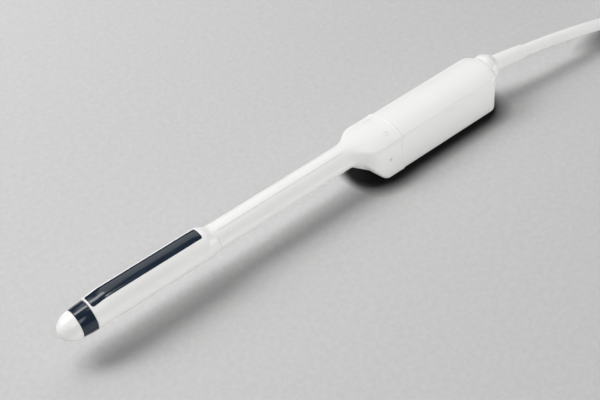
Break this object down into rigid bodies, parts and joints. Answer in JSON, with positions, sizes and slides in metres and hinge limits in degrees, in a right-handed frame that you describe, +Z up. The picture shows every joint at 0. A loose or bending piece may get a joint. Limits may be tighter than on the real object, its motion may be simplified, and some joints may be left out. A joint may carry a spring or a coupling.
{
  "type": "ultrasound transducer probe",
  "caption": "Slim biplane ultrasound probe with a round nose, a ring lens and a long window, a square handle, a strain relief, a cable tied in a hank and a system connector.",
  "frame": {"origin": "centre of the probe's box, without its cable and connector, at the surface that the handle rests on", "axes": "+X runs from the nose to the cable, +Z up, away from the surface; the lens window faces +Z"},
  "size_m": [0.7985, 0.0729, 0.0344],
  "materials": {
    "white_shell": "satin white",
    "lens_rubber": "glossy dark blue grey",
    "ceramic": "fired ceramic",
    "backing": "matte",
    "flex_film": "amber film",
    "frame_plastic": "matte",
    "bundle_jacket": "matte",
    "gasket_rubber": "matte",
    "board_green": "solder mask",
    "socket_black": "matte",
    "steel": "brushed",
    "cable_white": "soft satin white",
    "connector_grey": "fine texture",
    "tie_strap": "matte black strap"
  },
  "bodies": {
    "root": {"nose_cap": "white_shell", "transverse_lens": "lens_rubber", "transverse_array": "ceramic", "transverse_backing": "backing", "head_shell": "white_shell", "linear_lens": "lens_rubber", "linear_array": "ceramic", "linear_backing": "backing", "linear_flex_left": "flex_film", "linear_flex_right": "flex_film", "array_carrier": "frame_plastic", "shaft_housing": "white_shell", "inner_bulkhead": "frame_plastic", "handle_sleeve": "white_shell", "handle_gasket": "gasket_rubber", "screw_plug_top_left": "white_shell", "screw_plug_top_right": "white_shell", "screw_plug_bottom_left": "white_shell", "screw_plug_bottom_right": "white_shell", "screw_plug_side_left": "white_shell", "screw_plug_side_right": "white_shell", "circuit_board": "board_green", "board_cradle": "frame_plastic", "front_socket": "socket_black", "rear_socket": "socket_black", "shield_can": "steel", "coax_bundle": "bundle_jacket", "cable_core": "bundle_jacket", "clamp_lower": "frame_plastic", "clamp_upper": "frame_plastic", "clamp_screw_left": "steel", "clamp_screw_right": "steel", "gland_ring": "white_shell", "strain_relief_boot": "cable_white", "cable_lead": "cable_white", "cable_hank": "cable_white", "cable_tie_left": "tie_strap", "cable_tie_right": "tie_strap", "cable_tail": "cable_white", "connector_boot": "cable_white", "connector_lower_shell": "connector_grey", "connector_upper_shell": "connector_grey", "connector_shroud": "steel", "connector_contacts": "socket_black", "connector_board": "board_green", "connector_screw_1": "steel", "connector_screw_2": "steel", "connector_screw_3": "steel", "connector_screw_4": "steel"}
  },
  "joints": []
}
